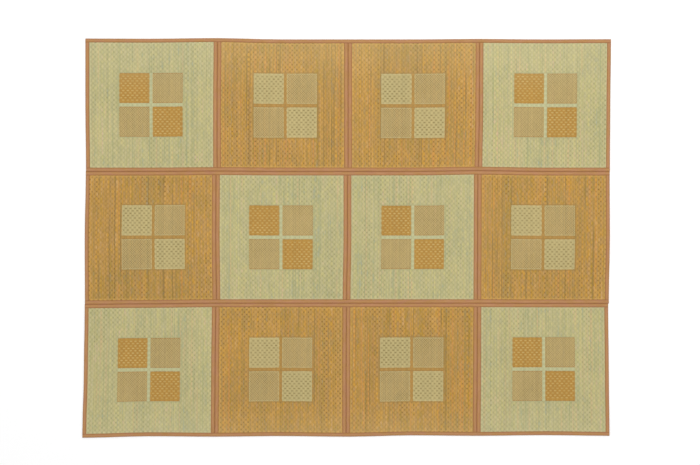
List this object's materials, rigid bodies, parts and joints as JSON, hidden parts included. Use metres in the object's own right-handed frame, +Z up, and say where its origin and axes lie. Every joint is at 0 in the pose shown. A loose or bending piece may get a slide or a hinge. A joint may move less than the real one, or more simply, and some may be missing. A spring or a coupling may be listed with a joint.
{
  "type": "rush rug",
  "caption": "Flat rectangular floor rug of woven rush squares in two alternating grounds, each edged in folded cloth tape and sewn edge to edge into a grid.",
  "frame": {"origin": "middle of the rug's outline, on the floor that it lies on", "axes": "+X along the long side, +Y across it towards the upper edge of the picture, +Z up out of the floor"},
  "size_m": [2.4126, 1.8236, 0.0036],
  "materials": {
    "rush_green": "dry woven rush, satin",
    "rush_brown": "dry woven rush, satin",
    "binding_tape": "matt cotton tape"
  },
  "bodies": {
    "root": {"mat_r1_c1": "rush_green", "mat_r1_c2": "rush_brown", "mat_r1_c3": "rush_brown", "mat_r1_c4": "rush_green", "mat_r2_c1": "rush_brown", "mat_r2_c2": "rush_green", "mat_r2_c3": "rush_green", "mat_r2_c4": "rush_brown", "mat_r3_c1": "rush_green", "mat_r3_c2": "rush_brown", "mat_r3_c3": "rush_brown", "mat_r3_c4": "rush_green", "side_tape_r1_c1_left": "binding_tape", "side_tape_r1_c1_right": "binding_tape", "side_tape_r1_c2_left": "binding_tape", "side_tape_r1_c2_right": "binding_tape", "side_tape_r1_c3_left": "binding_tape", "side_tape_r1_c3_right": "binding_tape", "side_tape_r1_c4_left": "binding_tape", "side_tape_r1_c4_right": "binding_tape", "side_tape_r2_c1_left": "binding_tape", "side_tape_r2_c1_right": "binding_tape", "side_tape_r2_c2_left": "binding_tape", "side_tape_r2_c2_right": "binding_tape", "side_tape_r2_c3_left": "binding_tape", "side_tape_r2_c3_right": "binding_tape", "side_tape_r2_c4_left": "binding_tape", "side_tape_r2_c4_right": "binding_tape", "side_tape_r3_c1_left": "binding_tape", "side_tape_r3_c1_right": "binding_tape", "side_tape_r3_c2_left": "binding_tape", "side_tape_r3_c2_right": "binding_tape", "side_tape_r3_c3_left": "binding_tape", "side_tape_r3_c3_right": "binding_tape", "side_tape_r3_c4_left": "binding_tape", "side_tape_r3_c4_right": "binding_tape", "long_tape_r1_upper": "binding_tape", "long_tape_r1_lower": "binding_tape", "long_tape_r2_upper": "binding_tape", "long_tape_r2_lower": "binding_tape", "long_tape_r3_upper": "binding_tape", "long_tape_r3_lower": "binding_tape"}
  },
  "joints": []
}
